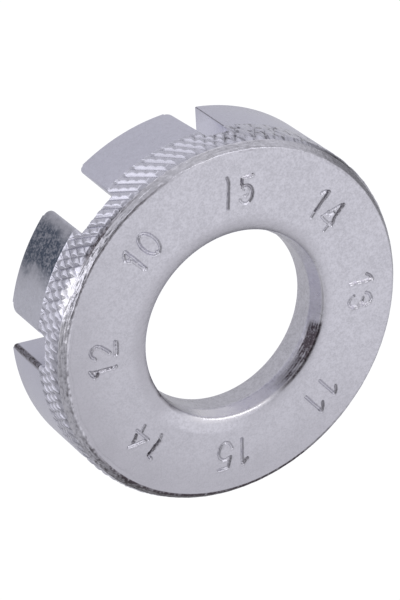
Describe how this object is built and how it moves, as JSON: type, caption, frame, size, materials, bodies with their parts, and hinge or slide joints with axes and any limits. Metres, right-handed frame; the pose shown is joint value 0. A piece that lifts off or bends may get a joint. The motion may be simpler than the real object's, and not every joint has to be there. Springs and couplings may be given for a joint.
{
  "type": "spoke wrench",
  "caption": "Round spoke wrench: a flat numbered ring with a diamond-knurled rim and a slotted crown that grips spoke nipples.",
  "frame": {"origin": "on the ring's axis, in the plane of the lugs' ends that the ring lies on", "axes": "+Z along the ring's axis, out of the numbered face; +Y to the 15 slot at the top of the picture"},
  "size_m": [0.045, 0.045, 0.0116],
  "materials": {
    "zinc_plate": "zinc-plated steel, satin, with a fine mottled grain"
  },
  "bodies": {
    "root": {"flange": "zinc_plate", "knurled_band": "zinc_plate", "lug_15_to_14": "zinc_plate", "lug_14_to_13": "zinc_plate", "lug_13_to_11": "zinc_plate", "lug_11_to_15": "zinc_plate", "lug_15_to_14_low": "zinc_plate", "lug_14_to_12": "zinc_plate", "lug_12_to_10": "zinc_plate", "lug_10_to_15": "zinc_plate"}
  },
  "joints": []
}
